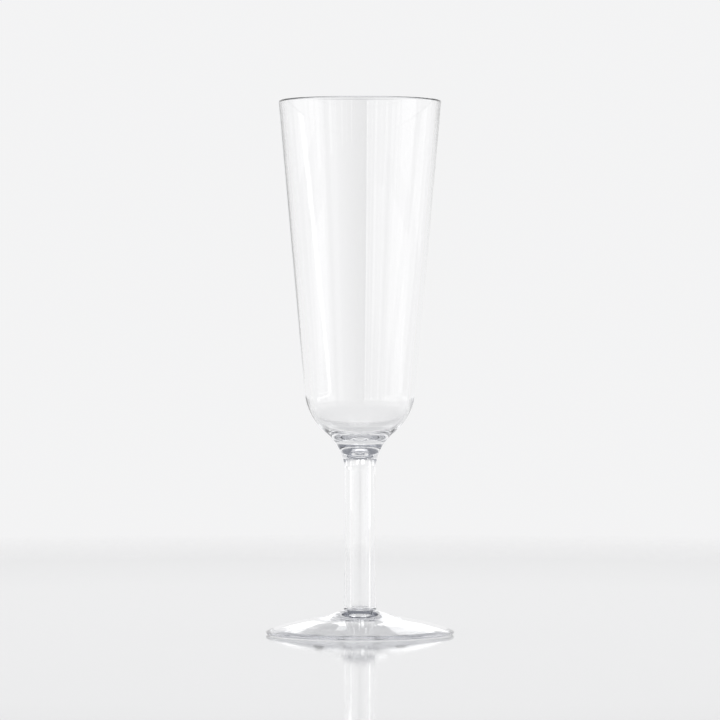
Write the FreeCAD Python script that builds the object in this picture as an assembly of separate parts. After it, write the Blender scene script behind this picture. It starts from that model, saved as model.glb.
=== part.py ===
import FreeCAD, Part
import math
import os

# A champagne flute in clear plastic, made as two mouldings: a tapered bowl with its hollow stem,
# and a foot with a plug, bonded into the stem's open end. Millimetres, +Z up, with the origin on
# the table under the centre of the foot. Every piece is round about Z, so each one is an outline
# of (radius, height) revolved once.

# Overall size
overall_height = 200.0
rim_diameter = 60.8
foot_diameter = 70.4

# Bowl
bowl_wall = 1.9
bowl_taper = 5.1            # degrees that the side leans out from upright
bowl_floor_height = 73.2    # the drink's lowest point
floor_bottom_share = 1.17   # radius of its shallow bottom, as a share of a plain round floor's
floor_corner_share = 0.85   # radius from the bottom up into the side, as a share of that too
floor_thickness = 3.9       # plastic between the drink's lowest point and the stem's hollow
shoulder_radius = 21.8      # outside, where the side turns in
flare_radius = 18.2         # outside, from the shoulder down into the stem

# Stem, a tube that is closed by the bowl's floor and open at its foot end
neck_drop = 11.7            # from the drink's lowest point down to the flare's end
stem_waist_radius = 5.6
stem_waist_height = 42.0
stem_top_flare = 0.2        # how much its radius grows up to the flare
stem_base_flare = 0.5       # how much its radius grows down to the foot
stem_wall = 2.1             # at the waist
stem_end_chamfer = 0.25     # breaks its lower edge, where it stands on the foot's hub
hollow_corner_radius = 3.2  # round the top of the hollow

# Bonded joint: the stem ends in a tenon, glued into a groove in the foot's hub
tenon_shoulder = 0.6        # how much thinner the tenon's radius is than the waist's
tenon_chamfer = 0.4
bond_gap = 0.08             # adhesive on each side of the tenon
bond_bed = 0.3              # adhesive under it

# Foot
hub_height = 9.0            # land that the stem stands on
hub_land = 0.5              # how far the land shows round the stem
hub_floor = 1.4             # solid plastic between the hub's groove and the recess below
plug_height = 1.5           # how far the plug stands above the land, inside the stem
foot_crest_radius = 18.0    # where the top turns from domed to swept
foot_crest_height = 5.7
foot_edge_slope = 20.8      # degrees that the top rises at the edge
foot_edge_top_round = 0.6   # upper corner of the edge
foot_edge_round = 0.7       # lower corner of the edge
foot_recess = 5.0           # hollow under the foot, at its centre
rest_ring_width = 2.0       # flat ring that touches the table
gate_mark_radius = 1.2
gate_mark_height = 0.35


class Outline:
    """An outline drawn edge by edge. A heading is in degrees from straight up, outwards positive."""

    def __init__(self, radius, height, heading=0.0):
        self.start = self.point = (radius, height)
        self.heading = heading
        self.edges = []

    def line_to(self, radius, height):
        self.edges.append(Part.makeLine(vector(self.point), vector((radius, height))))
        self.heading = heading_between(self.point, (radius, height))
        self.point = (radius, height)

    def turn(self, radius, heading):
        """An arc of that radius, smooth with what comes before it, that ends on that heading."""
        side = math.copysign(radius, heading - self.heading)
        centre = shifted(self.point, right_of(self.heading), side)
        middle = shifted(centre, right_of((self.heading + heading) / 2), -side)
        end = shifted(centre, right_of(heading), -side)
        self.edges.append(Part.Arc(vector(self.point), vector(middle), vector(end)).toShape())
        self.point = end
        self.heading = heading

    def sweep_to(self, radius, height):
        """The arc that starts smoothly and ends at that point."""
        chord = math.dist(self.point, (radius, height))
        lean = heading_between(self.point, (radius, height)) - self.heading
        self.turn(chord / (2 * abs(math.sin(math.radians(lean)))), self.heading + 2 * lean)

    def revolved(self):
        self.line_to(*self.start)
        face = Part.Face(Part.Wire(self.edges))
        return face.revolve(FreeCAD.Vector(0, 0, 0), FreeCAD.Vector(0, 0, 1), 360)


def vector(point):
    return FreeCAD.Vector(point[0], 0, point[1])


def ahead(heading):
    return (math.sin(math.radians(heading)), math.cos(math.radians(heading)))


def right_of(heading):
    return (math.cos(math.radians(heading)), -math.sin(math.radians(heading)))


def shifted(point, direction, distance):
    return (point[0] + direction[0] * distance, point[1] + direction[1] * distance)


def heading_between(start, end):
    return math.degrees(math.atan2(end[0] - start[0], end[1] - start[1]))


def waist_sweep(flare, end_height):
    """Radius of the arc from the stem's waist to one of its ends, and its slope at that end."""
    along = abs(end_height - stem_waist_height)
    radius = (along**2 + flare**2) / (2 * flare)
    return radius, math.degrees(math.asin(along / radius))


# Sizes that follow from the ones above
lip_radius = bowl_wall / 2
lip_centre = (rim_diameter / 2 - lip_radius, overall_height - lip_radius)
neck_height = bowl_floor_height - neck_drop
hollow_top = bowl_floor_height - floor_thickness
tenon_radius = stem_waist_radius - tenon_shoulder
groove_radius = tenon_radius + bond_gap
groove_floor = foot_recess + hub_floor
tenon_bottom = groove_floor + bond_bed
bore_radius = stem_waist_radius - stem_wall
plug_radius = bore_radius - bond_gap
plug_top = hub_height + plug_height
stem_base_radius = stem_waist_radius + stem_base_flare
upper_sweep, neck_slope = waist_sweep(stem_top_flare, neck_height)
lower_sweep, base_slope = waist_sweep(stem_base_flare, hub_height + stem_end_chamfer)


def drop_to_tangent(track, centre, distance, turn):
    """How far down the bowl's side from track a point lies that far from centre."""
    along = ahead(bowl_taper)
    apart = (track[0] - centre[0], track[1] - centre[1])
    nearest = apart[0] * along[0] + apart[1] * along[1]
    off_track = math.hypot(*apart)**2 - nearest**2
    return nearest + turn * math.sqrt(distance**2 - off_track)


def round_floor_radius(inner_side):
    """Radius of the one arc that would be a floor at that height and run smoothly up the side."""
    slope = math.radians(bowl_taper)
    height = inner_side[1] - bowl_floor_height
    return (inner_side[0] * math.cos(slope) - height * math.sin(slope)) / (1 - math.sin(slope))


def draw_floor(outline, inner_side):
    """A floor flatter than that: a shallow bottom, then a tighter corner up into the side."""
    bottom_radius = floor_bottom_share * round_floor_radius(inner_side)
    corner_radius = floor_corner_share * round_floor_radius(inner_side)
    bottom_centre = (0, bowl_floor_height + bottom_radius)
    track = shifted(inner_side, right_of(bowl_taper), -corner_radius)
    drop = drop_to_tangent(track, bottom_centre, bottom_radius - corner_radius, 1)
    corner_centre = shifted(track, ahead(bowl_taper), -drop)
    lean = math.asin(corner_centre[0] / (bottom_radius - corner_radius))
    outline.turn(bottom_radius, 90 - math.degrees(lean))
    outline.turn(corner_radius, bowl_taper)


def shoulder_to_flare(outer_side, flare_centre):
    """Where the shoulder leaves the side, and its slope where it runs smoothly into the flare."""
    track = shifted(outer_side, right_of(bowl_taper), -shoulder_radius)
    drop = drop_to_tangent(track, flare_centre, shoulder_radius + flare_radius, -1)
    centre = shifted(track, ahead(bowl_taper), -drop)
    slope = math.atan2(centre[1] - flare_centre[1], flare_centre[0] - centre[0])
    return shifted(outer_side, ahead(bowl_taper), -drop), math.degrees(slope)


def draw_bowl(outline):
    """From the drink's lowest point, up the inside and over the lip, and down to the neck."""
    inner_side = shifted(lip_centre, right_of(bowl_taper), -lip_radius)
    outer_side = shifted(lip_centre, right_of(bowl_taper), lip_radius)
    neck_edge = (stem_waist_radius + stem_top_flare, neck_height)
    flare_centre = shifted(neck_edge, right_of(neck_slope), flare_radius)
    shoulder_top, underside_slope = shoulder_to_flare(outer_side, flare_centre)
    draw_floor(outline, inner_side)
    outline.line_to(*inner_side)
    outline.turn(lip_radius, 180 + bowl_taper)
    outline.line_to(*shoulder_top)
    outline.heading = 180 + bowl_taper
    outline.turn(shoulder_radius, 180 + underside_slope)
    outline.turn(flare_radius, 180 + neck_slope)


def draw_stem(outline):
    """From the neck down to the tenon's end, and up the bore to the top of the hollow."""
    outline.turn(upper_sweep, 180)
    outline.turn(lower_sweep, 180 - base_slope)
    outline.line_to(stem_base_radius - stem_end_chamfer, hub_height)
    outline.line_to(tenon_radius, hub_height)
    outline.line_to(tenon_radius, tenon_bottom + tenon_chamfer)
    outline.line_to(tenon_radius - tenon_chamfer, tenon_bottom)
    outline.line_to(bore_radius, tenon_bottom)
    outline.line_to(bore_radius, hollow_top - hollow_corner_radius)
    outline.turn(hollow_corner_radius, -90)
    outline.line_to(0, hollow_top)


def make_bowl_stem():
    outline = Outline(0, bowl_floor_height, heading=90)
    draw_bowl(outline)
    draw_stem(outline)
    return outline.revolved()


def make_foot():
    edge_radius = foot_diameter / 2
    ring_outer = edge_radius - foot_edge_round
    gate_bottom = foot_recess - gate_mark_height

    foot = Outline(0, gate_bottom)
    foot.line_to(gate_mark_radius, gate_bottom)
    foot.line_to(gate_mark_radius, foot_recess)
    foot.heading = 90
    foot.sweep_to(ring_outer - rest_ring_width, 0)
    foot.line_to(ring_outer, 0)
    foot.turn(foot_edge_round, 0)
    foot.turn(foot_edge_top_round, foot_edge_slope - 90)
    foot.sweep_to(foot_crest_radius, foot_crest_height)
    foot.sweep_to(stem_base_radius + hub_land, hub_height)
    foot.line_to(groove_radius, hub_height)
    foot.line_to(groove_radius, groove_floor)
    foot.line_to(plug_radius, groove_floor)
    foot.line_to(plug_radius, plug_top - tenon_chamfer)
    foot.line_to(plug_radius - tenon_chamfer, plug_top)
    foot.line_to(0, plug_top)
    return foot.revolved()


def make_foot_bond():
    """A ring of adhesive that fills the hub's groove, on both sides of the tenon and under it."""
    bond = Outline(plug_radius, groove_floor)
    bond.line_to(groove_radius, groove_floor)
    bond.line_to(groove_radius, hub_height)
    bond.line_to(tenon_radius, hub_height)
    bond.line_to(tenon_radius, tenon_bottom + tenon_chamfer)
    bond.line_to(tenon_radius - tenon_chamfer, tenon_bottom)
    bond.line_to(bore_radius, tenon_bottom)
    bond.line_to(bore_radius, plug_top - tenon_chamfer)
    bond.line_to(plug_radius, plug_top - tenon_chamfer)
    return bond.revolved()


pieces = {
    "bowl_stem": make_bowl_stem(),
    "foot": make_foot(),
    "foot_bond": make_foot_bond(),
}
os.makedirs("parts", exist_ok=True)
for name, shape in pieces.items():
    shape.exportStep(f"parts/{name}.step")
    print(name, "valid" if shape.isValid() else "NOT VALID", f"{shape.Volume / 1000:.3f} ml")
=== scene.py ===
import bpy
import bmesh
import math
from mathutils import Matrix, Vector


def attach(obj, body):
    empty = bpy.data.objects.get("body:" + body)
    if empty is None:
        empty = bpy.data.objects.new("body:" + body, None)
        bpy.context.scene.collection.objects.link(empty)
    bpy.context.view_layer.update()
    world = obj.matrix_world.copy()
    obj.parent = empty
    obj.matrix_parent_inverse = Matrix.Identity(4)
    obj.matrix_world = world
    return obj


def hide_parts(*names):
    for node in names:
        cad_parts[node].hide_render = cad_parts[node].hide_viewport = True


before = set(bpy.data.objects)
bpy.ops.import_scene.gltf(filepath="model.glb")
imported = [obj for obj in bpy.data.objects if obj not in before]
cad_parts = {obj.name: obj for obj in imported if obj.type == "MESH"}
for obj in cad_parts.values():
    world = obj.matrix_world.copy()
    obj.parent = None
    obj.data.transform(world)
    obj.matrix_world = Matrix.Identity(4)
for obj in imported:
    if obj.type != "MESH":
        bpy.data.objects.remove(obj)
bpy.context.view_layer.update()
mm = 0.001
mergeWithin = 0.001 * mm
sharpFrom = math.radians(35)
print("frame loaded:", ", ".join(sorted(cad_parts)))


def newMaterial(name):
    material = bpy.data.materials.new(name)
    material.use_nodes = True
    nodes = material.node_tree.nodes
    nodes.clear()
    output = nodes.new("ShaderNodeOutputMaterial")
    return material, nodes, material.node_tree.links, output


def noiseAt(nodes, links, vector, scale, detail, roughness=0.5):
    noise = nodes.new("ShaderNodeTexNoise")
    noise.inputs["Scale"].default_value = scale
    noise.inputs["Detail"].default_value = detail
    noise.inputs["Roughness"].default_value = roughness
    links.new(vector, noise.inputs["Vector"])
    return noise.outputs["Fac"]


def bumpOn(nodes, links, height, distance, below=None):
    bump = nodes.new("ShaderNodeBump")
    bump.inputs["Strength"].default_value = 1.0
    bump.inputs["Distance"].default_value = distance
    links.new(height, bump.inputs["Height"])
    if below:
        links.new(below, bump.inputs["Normal"])
    return bump.outputs["Normal"]


def spread(nodes, links, value, low, high, newLow, newHigh):
    remap = nodes.new("ShaderNodeMapRange")
    remap.inputs["From Min"].default_value = low
    remap.inputs["From Max"].default_value = high
    remap.inputs["To Min"].default_value = newLow
    remap.inputs["To Max"].default_value = newHigh
    links.new(value, remap.inputs["Value"])
    return remap.outputs["Result"]


def vectorStep(nodes, links, operation, first, second=None):
    step = nodes.new("ShaderNodeVectorMath")
    step.operation = operation
    links.new(first, step.inputs[0])
    if isinstance(second, tuple):
        step.inputs[1].default_value = second
    elif second is not None:
        links.new(second, step.inputs[1])
    return step.outputs["Value" if operation == "LENGTH" else "Vector"]


def mathStep(nodes, links, operation, first, second):
    step = nodes.new("ShaderNodeMath")
    step.operation = operation
    for socket, value in zip(step.inputs, (first, second)):
        if isinstance(value, (int, float)):
            socket.default_value = value
        else:
            links.new(value, socket)
    return step.outputs["Value"]


# clear plastic with long, shallow flow lines round the axis, a faint ripple and fine wipe marks
def clearPlastic(name, look):
    material, nodes, links, output = newMaterial(name)
    shader = nodes.new("ShaderNodeBsdfPrincipled")
    shader.inputs["Base Color"].default_value = (1, 1, 1, 1)
    shader.inputs["Transmission Weight"].default_value = 1
    shader.inputs["IOR"].default_value = look["ior"]
    place = nodes.new("ShaderNodeTexCoord").outputs["Object"]

    flat = vectorStep(nodes, links, "MULTIPLY", place, (1, 1, 0))
    around = vectorStep(nodes, links, "NORMALIZE", flat)
    drift = vectorStep(nodes, links, "MULTIPLY", place, (0, 0, look["flowDrift"]))
    flowPlace = vectorStep(nodes, links, "ADD", around, drift)
    flow = noiseAt(nodes, links, flowPlace, look["flowScale"], look["flowDetail"])
    fromAxis = vectorStep(nodes, links, "LENGTH", flat)
    flowFade = spread(nodes, links, fromAxis, *look["flowFrom"], 0, 1)  # none near the axis
    flow = mathStep(nodes, links, "MULTIPLY", flow, flowFade)

    centred = nodes.new("ShaderNodeMapping")
    centred.inputs["Location"].default_value = look["rippleShift"]
    centred.inputs["Scale"].default_value = look["rippleStretch"]
    links.new(place, centred.inputs["Vector"])
    ripple = noiseAt(nodes, links, centred.outputs["Vector"], look["rippleScale"], look["rippleDetail"])
    normal = bumpOn(nodes, links, flow, look["flowDepth"])
    normal = bumpOn(nodes, links, ripple, look["rippleDepth"], normal)
    links.new(normal, shader.inputs["Normal"])

    wipe = noiseAt(nodes, links, centred.outputs["Vector"], look["wipeScale"], *look["wipeGrain"])
    rough = spread(nodes, links, wipe, *look["wipeRange"], *look["roughness"])
    links.new(rough, shader.inputs["Roughness"])
    links.new(shader.outputs["BSDF"], output.inputs["Surface"])
    volume = nodes.new("ShaderNodeVolumeAbsorption")
    volume.inputs["Color"].default_value = look["tint"]
    volume.inputs["Density"].default_value = look["density"]
    links.new(volume.outputs["Volume"], output.inputs["Volume"])
    return material


# the same plastic where the adhesive wets it, so no surface shows apart from a few trapped bubbles
def clearAdhesive(name, look):
    material, nodes, links, output = newMaterial(name)
    place = nodes.new("ShaderNodeTexCoord").outputs["Object"]
    centred = nodes.new("ShaderNodeMapping")
    centred.inputs["Location"].default_value = look["bubbleShift"]
    links.new(place, centred.inputs["Vector"])
    cells = nodes.new("ShaderNodeTexVoronoi")
    cells.inputs["Scale"].default_value = look["bubbleScale"]
    links.new(centred.outputs["Vector"], cells.inputs["Vector"])
    bubbles = spread(nodes, links, cells.outputs["Distance"], *look["bubbleEdge"], 1, 0)
    wetted = nodes.new("ShaderNodeBsdfTransparent")
    bubble = nodes.new("ShaderNodeBsdfPrincipled")
    bubble.inputs["Base Color"].default_value = (1, 1, 1, 1)
    bubble.inputs["Roughness"].default_value = look["bubbleRoughness"]
    bubble.inputs["Transmission Weight"].default_value = 1
    bubble.inputs["IOR"].default_value = look["bubbleIor"]
    mix = nodes.new("ShaderNodeMixShader")
    links.new(bubbles, mix.inputs["Fac"])
    links.new(wetted.outputs["BSDF"], mix.inputs[1])
    links.new(bubble.outputs["BSDF"], mix.inputs[2])
    links.new(mix.outputs["Shader"], output.inputs["Surface"])
    return material


plastic = {
    "ior": 1.57, "tint": (0.62, 0.64, 0.72, 1), "density": 5.0,
    "flowDetail": 2, "rippleDetail": 1, "wipeGrain": (5, 0.65), "wipeRange": (0.35, 0.75),
}
bodyPlastic = clearPlastic("bodyPlastic", {
    **plastic, "roughness": (0.008, 0.018), "wipeScale": 700.0,
    "flowScale": 5.0, "flowDrift": 1.5, "flowDepth": 0.00002, "flowFrom": (0.004, 0.016),
    "rippleShift": (0.013, 0.007, 0), "rippleStretch": (1, 1, 0.25), "rippleScale": 90.0,
    "rippleDepth": 0.000006,
})
footPlastic = clearPlastic("footPlastic", {
    **plastic, "roughness": (0.008, 0.02), "wipeScale": 600.0,
    "flowScale": 4.0, "flowDrift": 0.0, "flowDepth": 0.00003, "flowFrom": (0.006, 0.02),
    "rippleShift": (0.031, -0.011, 0), "rippleStretch": (1, 1, 1), "rippleScale": 70.0,
    "rippleDepth": 0.00002,
})
adhesive = clearAdhesive("clearAdhesive", {
    "bubbleShift": (0.0021, 0.0013, 0), "bubbleScale": 900.0, "bubbleEdge": (0.12, 0.156),
    "bubbleIor": 1.2, "bubbleRoughness": 0.1,
})
print("finishes made")


def lineTo(bm, tip, radius, height):
    new = bmesh.ops.extrude_vert_indiv(bm, verts=[tip])["verts"][0]
    new.co = (radius * mm, 0, height * mm)
    return new


def arcAbout(bm, tip, centre, degrees, steps):
    swung = bmesh.ops.spin(bm, geom=[tip], cent=(centre[0] * mm, 0, centre[1] * mm), axis=(0, 1, 0),
                           angle=math.radians(degrees), steps=steps)
    return [v for v in swung["geom_last"] if isinstance(v, bmesh.types.BMVert)][0]


# an outline of (radius, height) in millimetres, drawn move by move and spun once round the axis:
# a line gives its end, an arc its centre, its turn in degrees and its number of steps
def turned(name, piece, materials):
    bm = bmesh.new()
    tip = bm.verts.new((piece["start"][0] * mm, 0, piece["start"][1] * mm))
    for move in piece["moves"]:
        if move[0] == "line":
            tip = lineTo(bm, tip, move[1], move[2])
        else:
            tip = arcAbout(bm, tip, move[1], move[2], move[3])
    bmesh.ops.spin(bm, geom=bm.verts[:] + bm.edges[:], cent=(0, 0, 0), axis=(0, 0, 1),
                   angle=math.tau, steps=piece["steps"], use_merge=True)
    bmesh.ops.remove_doubles(bm, verts=bm.verts[:], dist=mergeWithin)
    bmesh.ops.recalc_face_normals(bm, faces=bm.faces[:])
    for face in bm.faces:
        face.smooth = True
        middle = face.calc_center_median() / mm
        radius = math.hypot(middle.x, middle.y)
        if any(inner < radius < outer and low < middle.z < high
               for inner, outer, low, high in piece["bonded"]):
            face.material_index = 1
    mesh = bpy.data.meshes.new(name)
    bm.to_mesh(mesh)
    bm.free()
    mesh.set_sharp_from_angle(angle=sharpFrom)
    made = bpy.data.objects.new(name, mesh)
    bpy.context.scene.collection.objects.link(made)
    for material in materials:
        mesh.materials.append(material)
    print(name, "has", len(mesh.polygons), "faces")
    return made


bowlStem = {
    "steps": 192,
    "start": (0, 73.2),
    "moves": [
        ("arc", (0, 95.282), -25.963, 14),           # the drink's shallow bottom
        ("arc", (2.644, 89.852), -58.937, 32),       # corner up into the side
        ("line", 28.504, 199.134),
        ("arc", (29.450, 199.050), 180, 24),         # lip
        ("line", 20.708, 90.412),
        ("arc", (-1.006, 92.350), 46.2146, 28),      # shoulder
        ("arc", (23.996, 61.127), -50.139, 28),      # flare into the stem
        ("arc", (956.325, 42.0), -1.175, 16),        # stem, in to its waist
        ("arc", (1078.4125, 42.0), -1.749, 16),      # and out to its foot
        ("line", 5.85, 9.0),
        ("line", 5.0, 9.0),                          # tenon
        ("line", 5.0, 7.1),
        ("line", 4.6, 6.7),
        ("line", 3.5, 6.7),
        ("line", 3.5, 10.1),
        ("line", 3.5, 66.1),                         # bore
        ("arc", (0.3, 66.1), -90, 14),               # round the top of the hollow
        ("line", 0, 69.3),
    ],
    # where the adhesive or the plug touches it: radius from and to, then height
    "bonded": [(3.4, 6.0, 6.0, 9.05), (3.4, 3.6, 6.0, 10.1)],
}

body = turned("bowlAndStem", bowlStem, [bodyPlastic, adhesive])
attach(body, "root")
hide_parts("bowl_stem")

footSizes = {
    "steps": 192,
    "start": (0, 4.65),
    "moves": [
        ("line", 1.2, 4.65),                         # gate mark
        ("line", 1.2, 5.0),
        ("arc", (1.2, -95.469), 18.154, 32),         # recess
        ("line", 34.5, 0),
        ("arc", (34.5, 0.7), -90, 8),                # rounded edge
        ("arc", (34.6, 0.7), -69.2, 8),
        ("arc", (5.324, -76.37), -12.02, 16),        # sweep up to the crest
        ("arc", (25.067, 51.454), 14.728, 16),       # and on up to the hub
        ("line", 5.85, 9.0),
        ("line", 5.08, 9.0),
        ("line", 5.08, 6.4),                         # groove for the tenon
        ("line", 3.42, 6.4),
        ("line", 3.42, 10.1),
        ("line", 3.02, 10.5),                        # plug
        ("line", 0, 10.5),
    ],
    "bonded": [(3.3, 5.9, 6.3, 10.1)],
}

foot = turned("footDisc", footSizes, [footPlastic, adhesive])
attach(foot, "root")
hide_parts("foot")

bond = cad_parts["foot_bond"]
bond.data.materials.clear()
bond.data.materials.append(adhesive)
print("pieces in place")

table = {
    "radius": 0.9, "segments": 128, "gap": 0.0002, "fade": (0.5, 0.74), "toneFade": (0.15, 0.74),
    "colour": (0.36, 0.36, 0.36), "edgeColour": (0.3, 0.3, 0.3), "roughness": 0.05, "ior": 1.45,
    # the glow is painted light: its strength, where it starts to dim towards the edge, and how much is
    # left there
    "glow": 0.6, "glowFade": (0.3, 0.74), "glowLeft": 0.6,
    "grainScale": 420.0, "grainDetail": 3, "grainDepth": 0.00002,
}


# a round table top, grey in itself, that glows with painted light so it looks white and fills the shade
# under the flute's foot; it softens away into the backdrop at its edge
def makeTable(sizes):
    bm = bmesh.new()
    bmesh.ops.create_circle(bm, cap_ends=True, segments=sizes["segments"], radius=sizes["radius"])
    mesh = bpy.data.meshes.new("table")
    bm.to_mesh(mesh)
    bm.free()
    top = bpy.data.objects.new("table", mesh)
    bpy.context.scene.collection.objects.link(top)
    top.location.z = -sizes["gap"]
    material, nodes, links, output = newMaterial("glowingTable")
    place = nodes.new("ShaderNodeTexCoord").outputs["Object"]
    out = vectorStep(nodes, links, "LENGTH", place)
    tone = nodes.new("ShaderNodeValToRGB")
    tone.color_ramp.elements[0].color = (*sizes["colour"], 1)
    tone.color_ramp.elements[1].color = (*sizes["edgeColour"], 1)
    links.new(spread(nodes, links, out, *sizes["toneFade"], 0, 1), tone.inputs["Fac"])
    shader = nodes.new("ShaderNodeBsdfPrincipled")
    shader.inputs["Roughness"].default_value = sizes["roughness"]
    shader.inputs["IOR"].default_value = sizes["ior"]
    links.new(tone.outputs["Color"], shader.inputs["Base Color"])
    # painted light: the top glows, less where it is seen at a grazing slant and less towards its edge
    gloss = nodes.new("ShaderNodeFresnel")
    gloss.inputs["IOR"].default_value = sizes["ior"]
    steepGlow = spread(nodes, links, gloss.outputs["Fac"], 0, 1, sizes["glow"], 0)
    nearGlow = spread(nodes, links, out, *sizes["glowFade"], 1, sizes["glowLeft"])
    shader.inputs["Emission Color"].default_value = (1, 1, 1, 1)
    links.new(mathStep(nodes, links, "MULTIPLY", steepGlow, nearGlow), shader.inputs["Emission Strength"])
    grain = noiseAt(nodes, links, place, sizes["grainScale"], sizes["grainDetail"])
    links.new(bumpOn(nodes, links, grain, sizes["grainDepth"]), shader.inputs["Normal"])
    clear = nodes.new("ShaderNodeBsdfTransparent")
    mix = nodes.new("ShaderNodeMixShader")
    links.new(spread(nodes, links, out, *sizes["fade"], 0, 1), mix.inputs["Fac"])
    links.new(shader.outputs["BSDF"], mix.inputs[1])
    links.new(clear.outputs["BSDF"], mix.inputs[2])
    links.new(mix.outputs["Shader"], output.inputs["Surface"])
    mesh.materials.append(material)


makeTable(table)

# each card has its hard edge and the edge it fades out at, as sideways slopes, then its lowest and highest
studio = {
    "wall": (0.9, 0.9, 0.905), "ceiling": (0.22, 0.23, 0.26), "ceilingFrom": 0.3, "ceilingTo": 0.5,
    "frontFrom": 0.2, "leastForward": 0.001, "cardSoftness": 0.03,
    "cards": [
        {"edge": 0.18, "fade": -0.70, "low": -0.30, "high": -0.04, "shade": 0.6},
        {"edge": -0.18, "fade": 0.70, "low": 0.02, "high": 0.30, "shade": 0.6},
    ],
}


# pale walls all round under a dim ceiling, with low grey cards in front of the flute
def makeStudio(room):
    world = bpy.data.worlds.new("studio")
    world.use_nodes = True
    nodes = world.node_tree.nodes
    links = world.node_tree.links
    split = nodes.new("ShaderNodeSeparateXYZ")
    links.new(nodes.new("ShaderNodeTexCoord").outputs["Generated"], split.inputs["Vector"])
    ramp = nodes.new("ShaderNodeValToRGB")
    ramp.color_ramp.elements[0].position = room["ceilingFrom"]
    ramp.color_ramp.elements[0].color = (*room["wall"], 1)
    ramp.color_ramp.elements[1].position = room["ceilingTo"]
    ramp.color_ramp.elements[1].color = (*room["ceiling"], 1)
    links.new(split.outputs["Z"], ramp.inputs["Fac"])

    def maths(operation, first, second):
        return mathStep(nodes, links, operation, first, second)

    soft = room["cardSoftness"]
    forward = maths("MAXIMUM", maths("SUBTRACT", 0, split.outputs["Y"]), room["leastForward"])
    sideways = maths("DIVIDE", split.outputs["X"], forward)
    inFront = maths("LESS_THAN", split.outputs["Y"], -room["frontFrom"])
    tone = ramp.outputs["Color"]
    for card in room["cards"]:
        shade = spread(nodes, links, sideways, card["fade"], card["edge"], 0, card["shade"])
        hardSide = "LESS_THAN" if card["edge"] > card["fade"] else "GREATER_THAN"
        shade = maths("MULTIPLY", shade, maths(hardSide, sideways, card["edge"]))
        lower = spread(nodes, links, split.outputs["Z"], card["low"] - soft, card["low"], 0, 1)
        upper = spread(nodes, links, split.outputs["Z"], card["high"], card["high"] + soft, 1, 0)
        shade = maths("MULTIPLY", maths("MULTIPLY", shade, inFront), maths("MULTIPLY", lower, upper))
        mix = nodes.new("ShaderNodeMix")
        mix.data_type = "RGBA"
        links.new(shade, mix.inputs["Factor"])
        links.new(tone, mix.inputs["A"])
        mix.inputs["B"].default_value = (0, 0, 0, 1)
        tone = mix.outputs["Result"]
    links.new(tone, nodes["Background"].inputs["Color"])
    bpy.context.scene.world = world


makeStudio(studio)

# soft panels and narrow strips: bearing and height in degrees seen from the bowl, from straight in front
# and positive to the right, then width and height in metres, then brightness
lamps = {
    "distance": 2.2, "aim": (0, 0, 0.14),
    "banks": [
        # left: upright strips, then two banks with a dark gap between them
        (-12, 8, 0.05, 0.9, 0.9), (-19, 8, 0.04, 0.9, 0.6), (-26, 8, 0.08, 0.9, 0.7),
        (-35, 8, 0.04, 0.9, 0.5), (-43, 8, 0.14, 0.9, 0.7), (-54, 8, 0.06, 0.9, 0.5),
        (-64, 8, 0.22, 0.9, 0.6),
        (-90, 2.2, 1.6, 0.33, 0.5), (-90, 13.2, 1.6, 0.42, 0.5), (-122, 4.5, 1.2, 0.12, 0.7),
        # right
        (46, 8, 0.5, 0.9, 0.3), (74, 8, 1.0, 0.9, 0.4), (108, 8, 1.2, 0.9, 0.35),
        (100, 7, 2.4, 0.046, 1.8),
        # high at the back, overhead, and behind for the slope of the foot
        (152, 33, 0.5, 0.4, 1.4), (-152, 33, 0.5, 0.4, 0.9), (0, 89.9, 2.0, 0.7, 1.0),
        (174, 17, 0.25, 0.55, 1.2), (-174.5, 13, 0.12, 0.3, 1.1), (-178, 22, 0.08, 0.3, 1.1),
        # below the table's level
        (-75, -14, 1.2, 0.7, 0.6), (70, -14, 1.6, 0.7, 0.5), (30, -14, 0.6, 0.7, 0.35),
    ],
}


def makeLamps(rig):
    aim = Vector(rig["aim"])
    for number, (bearing, rise, width, height, brightness) in enumerate(rig["banks"]):
        data = bpy.data.lights.new("lamp%02d" % number, "AREA")
        data.shape = "RECTANGLE"
        data.size = width
        data.size_y = height
        data.energy = brightness * math.pi * width * height
        lamp = bpy.data.objects.new(data.name, data)
        bpy.context.scene.collection.objects.link(lamp)
        turn = math.radians(bearing)
        lift = math.radians(rise)
        level = math.cos(lift)
        outward = Vector((math.sin(turn) * level, -math.cos(turn) * level, math.sin(lift)))
        lamp.location = aim + outward * rig["distance"]
        lamp.rotation_euler = outward.to_track_quat("Z", "Y").to_euler()
        lamp.visible_camera = False


makeLamps(lamps)
print("set and lights made")

view = {"lens": 215, "sensor": 36, "place": (0, -1.6105, 0.1195), "dip": 0.6, "reach": 50}
bounces = {"clear": 32, "diffuse": 8}  # the clear walls need many

camera = bpy.data.objects.new("camera", bpy.data.cameras.new("camera"))
bpy.context.scene.collection.objects.link(camera)
camera.data.lens = view["lens"]
camera.data.sensor_width = view["sensor"]
camera.location = view["place"]
camera.rotation_euler = (math.radians(90 - view["dip"]), 0, 0)
camera.data.clip_end = view["reach"]
bpy.context.scene.camera = camera
bpy.context.scene.view_settings.view_transform = "Standard"
cycles = bpy.context.scene.cycles
cycles.use_denoising = True
cycles.max_bounces = bounces["clear"]
cycles.glossy_bounces = bounces["clear"]
cycles.diffuse_bounces = bounces["diffuse"]
cycles.transmission_bounces = bounces["clear"]
cycles.transparent_max_bounces = bounces["clear"]
